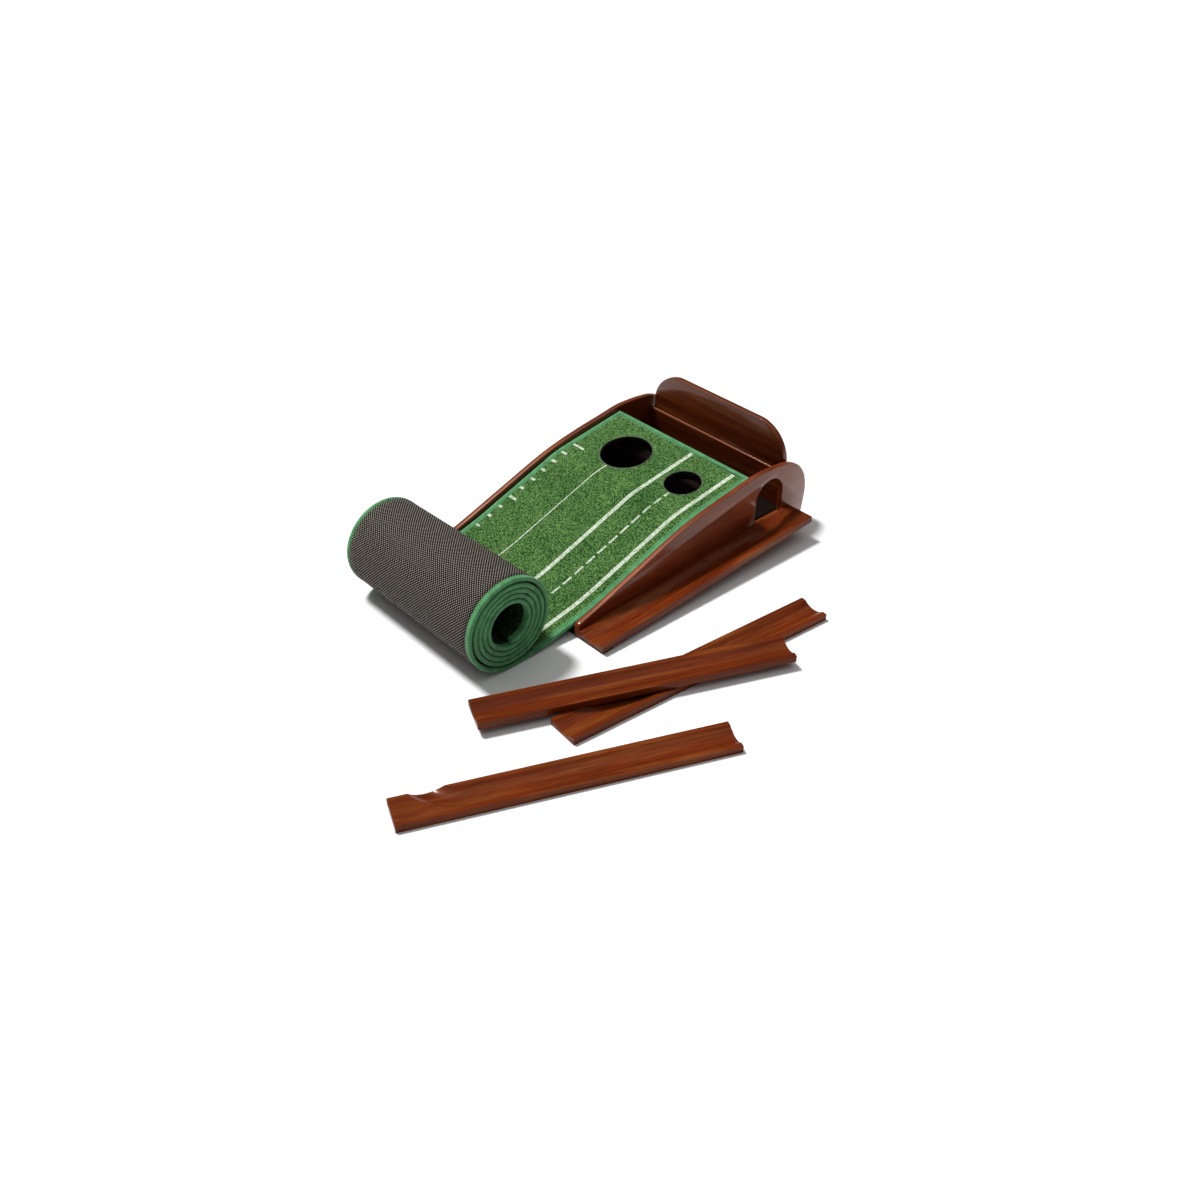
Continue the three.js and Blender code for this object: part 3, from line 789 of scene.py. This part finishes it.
# ---- Rolled mat ---------------------------------------------------------------------------------
# The rest of the mat, rolled up with the pile inwards. Outside shows the dark brown woven backing
# with its rows of pale rubber dots, and the taped edges make the green rings at the ends.
ROLL_RADIUS = 0.096
ROLL_PITCH = 0.010
ROLL_TURNS = 5
TURN_STEPS = 72
ACROSS_STEPS = 24
SLACK, SLACK_FROM, SLACK_OVER = 0.0022, 0.55, 0.5  # the turns loosen by SLACK, from and over these turns
TIGHTER_LEFT = 0.05  # share by which the left end is smaller than the right end
ROLL_SEWN_AT = 0.0082
THREAD_SINK = 0.0001
DOT_LATTICE = 0.006 / math.sqrt(2)

backing, tree, body = new_finish("dotted_backing")
lay = node(tree, "ShaderNodeAttribute", attribute_name="lay")
lattice = node(tree, "ShaderNodeMapping")
lattice.inputs["Rotation"].default_value = (0.0, 0.0, math.radians(45))
lattice.inputs["Scale"].default_value = (1 / DOT_LATTICE,) * 3
cell = node(tree, "ShaderNodeVectorMath", operation="FRACTION")
centred = node(tree, "ShaderNodeVectorMath", operation="SUBTRACT")
centred.inputs[1].default_value = (0.5, 0.5, 0.0)
reach = node(tree, "ShaderNodeVectorMath", operation="LENGTH")
dot = ramp(tree, (0.18, (1.0, 1.0, 1.0, 1.0)), (0.27, (0.0, 0.0, 0.0, 1.0)))
weave = node(tree, "ShaderNodeTexNoise", Scale=900.0, Detail=3.0)
cloth_tone = ramp(tree, (0.3, (0.003, 0.002, 0.0018, 1.0)), (0.7, (0.012, 0.009, 0.0075, 1.0)))
dot_tone = ramp(tree, (0.3, (0.34, 0.295, 0.245, 1.0)), (0.7, (0.64, 0.57, 0.48, 1.0)))
dotted = node(tree, "ShaderNodeMix", data_type="RGBA")
relief = node(tree, "ShaderNodeBump", Strength=0.9, Distance=0.0006)
wire(
    tree,
    (lay, "Vector", lattice, "Vector"),
    (lay, "Vector", weave, "Vector"),
    (lattice, "Vector", cell, 0),
    (cell, "Vector", centred, 0),
    (centred, "Vector", reach, 0),
    (reach, "Value", dot, "Fac"),
    (weave, "Fac", cloth_tone, "Fac"),
    (weave, "Fac", dot_tone, "Fac"),
    (dot, "Color", dotted, "Factor"),
    (dot, "Color", relief, "Height"),
    (relief, "Normal", body, "Normal"),
)
tree.links.new(cloth_tone.outputs["Color"], dotted.inputs[6])
tree.links.new(dot_tone.outputs["Color"], dotted.inputs[7])
tree.links.new(dotted.outputs[2], body.inputs["Base Color"])
body.inputs["Roughness"].default_value = 0.8
body.inputs["Specular IOR Level"].default_value = 0.15

# A much darker copy of the green pile for the pile side inside the roll: painted shade for the dark core.
painted_shade_pile = fibre(
    "painted_shade_pile", (0.002, 0.007, 0.002, 1.0), (0.008, 0.024, 0.006, 1.0), (0.030, 0.070, 0.022, 1.0),
    0.0010, 0.0022, 0.9, 0.8,
)


def spiral(turn, depth):
    """(y, z) at this many turns from the floor and this depth in from the backing."""
    a = 2 * math.pi * turn
    slack = SLACK * min(1.0, max(0.0, turn - SLACK_FROM) / SLACK_OVER)
    r = ROLL_RADIUS - ROLL_PITCH * turn - slack - depth
    return ROLL_Y - r * math.sin(a), ROLL_RADIUS - r * math.cos(a)


def wound(x, turn, depth):
    """A point of the roll. Its left end is wound a little tighter than its right end."""
    y, z = spiral(turn, depth)
    size = 1.0 - TIGHTER_LEFT * (MAT_HALF - x) / (2 * MAT_HALF)
    return Vector(at(x, ROLL_Y + (y - ROLL_Y) * size, z * size))


def arc_length(turn):
    """Length of mat from the floor to this many turns in."""
    return 2 * math.pi * (ROLL_RADIUS * turn - ROLL_PITCH * turn * turn / 2)


roll_turns = [k / TURN_STEPS for k in range(TURN_STEPS * ROLL_TURNS + 1)]
turn_of = {arc_length(t): t for t in roll_turns}

rolled = closed_sheet(
    "rolled_turf",
    [PILE_HALF - 2 * PILE_HALF * k / ACROSS_STEPS for k in range(ACROSS_STEPS + 1)],
    sorted(turn_of),
    lambda x, s: wound(x, turn_of[s], PILE_TOP),
    lambda x, s: wound(x, turn_of[s], PILE_UNDER),
    # The pile side, facing inwards, takes the painted shade; the outside takes the dotted backing.
    lambda x, s, upper: 0 if upper else 1,
)
rolled.data.materials.append(painted_shade_pile)
rolled.data.materials.append(backing)
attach(rolled, "roll")
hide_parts("mat_roll")

for side, hand in ((-1, "left"), (1, "right")):
    stations, spots = [], []
    for turn in roll_turns:
        place = wound(side * MAT_HALF, turn, 0.0)
        toward = (wound(side * MAT_HALF, turn, 0.01) - place).normalized()
        stations.append((place, Vector((-side, 0, 0)), toward))
    roll_tape = swept(f"roll_edge_tape_{hand}", stations, TAPE, tape_green)
    s = STITCH_STEP
    while s < arc_length(1.0):
        turn = (ROLL_RADIUS - math.sqrt(ROLL_RADIUS**2 - ROLL_PITCH * s / math.pi)) / ROLL_PITCH
        sewn_x = side * (MAT_HALF - ROLL_SEWN_AT)
        spot = wound(sewn_x, turn, 0.0)
        along = (wound(sewn_x, turn + 0.001, 0.0) - spot).normalized()
        outward = (spot - wound(sewn_x, turn, 0.01)).normalized()
        if spot.z > 0.001:
            spots.append((spot - outward * THREAD_SINK, along, outward))
        s += STITCH_STEP
    roll_thread = stitches(f"roll_stitches_{hand}", spots)
    for piece in (roll_tape, roll_thread):
        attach(piece, "roll")
